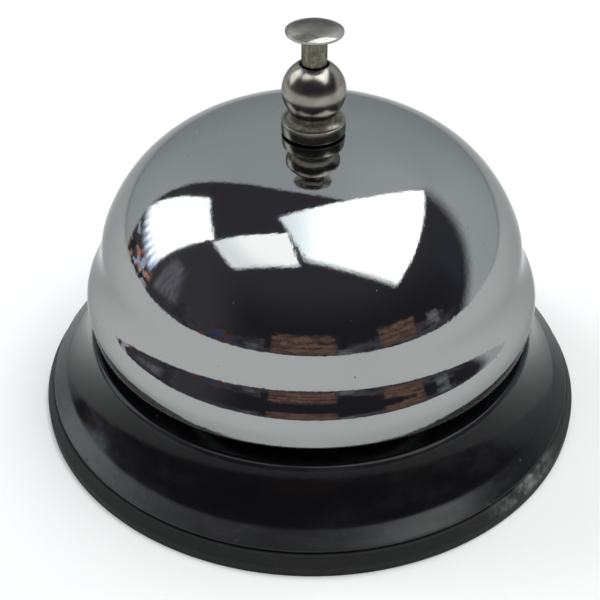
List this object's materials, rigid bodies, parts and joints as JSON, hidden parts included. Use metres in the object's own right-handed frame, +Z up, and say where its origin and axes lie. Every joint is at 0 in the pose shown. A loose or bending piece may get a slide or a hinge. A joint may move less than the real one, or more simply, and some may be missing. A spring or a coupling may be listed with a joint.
{
  "type": "service call bell",
  "caption": "Dome-shaped service bell on a flared base; pressing the button on its finial tips a lever that swings a hammer up to the gong.",
  "frame": {"origin": "on the bell's axis, on the surface that the foot ring rests on", "axes": "+Z up along the bell's axis and its button; +X from the axis towards the hammer; the lever swings in the XZ plane"},
  "size_m": [0.085, 0.085, 0.0624],
  "materials": {
    "chrome": "mirror",
    "nickel": "polished",
    "black_paint": "gloss",
    "rubber": "matte",
    "zinc": "satin",
    "brass": "satin",
    "fibre": "matte",
    "nylon": "satin",
    "spring_steel": "satin"
  },
  "bodies": {
    "root": {"foot_ring": "rubber", "base_shell": "black_paint", "support_frame": "zinc", "frame_rivet_left": "zinc", "frame_rivet_right": "zinc", "sleeve": "zinc", "sleeve_nut": "zinc", "sleeve_lock_washer": "spring_steel", "dome_seat_washer": "fibre", "bell_dome": "chrome", "finial_washer": "fibre", "finial": "nickel", "return_spring": "spring_steel", "pivot_pin": "zinc", "pivot_spacer_left": "nylon", "pivot_spacer_right": "nylon", "pivot_clip": "spring_steel"},
    "plunger": {"button": "nickel", "push_rod": "zinc", "rod_clip": "spring_steel"},
    "striker": {"striker_lever": "zinc", "hammer": "brass", "hammer_pin": "zinc"}
  },
  "joints": [
    {"name": "plunger_press", "type": "slide", "parent": "root", "child": "plunger", "axis": [0, 0, -1], "range_m": [0, 0.003], "stiffness_N_per_m": 250, "springref_m": -0.004, "deforming": ["return_spring"]},
    {"name": "striker_swing", "type": "hinge", "parent": "root", "child": "striker", "pos_m": [0.005, 0, 0.0263], "axis": [0, -1, 0], "range_deg": [0, 34.4]}
  ],
  "couplings": [
    {"joint": "striker_swing", "follows": "plunger_press", "rad_per_m": 200}
  ]
}
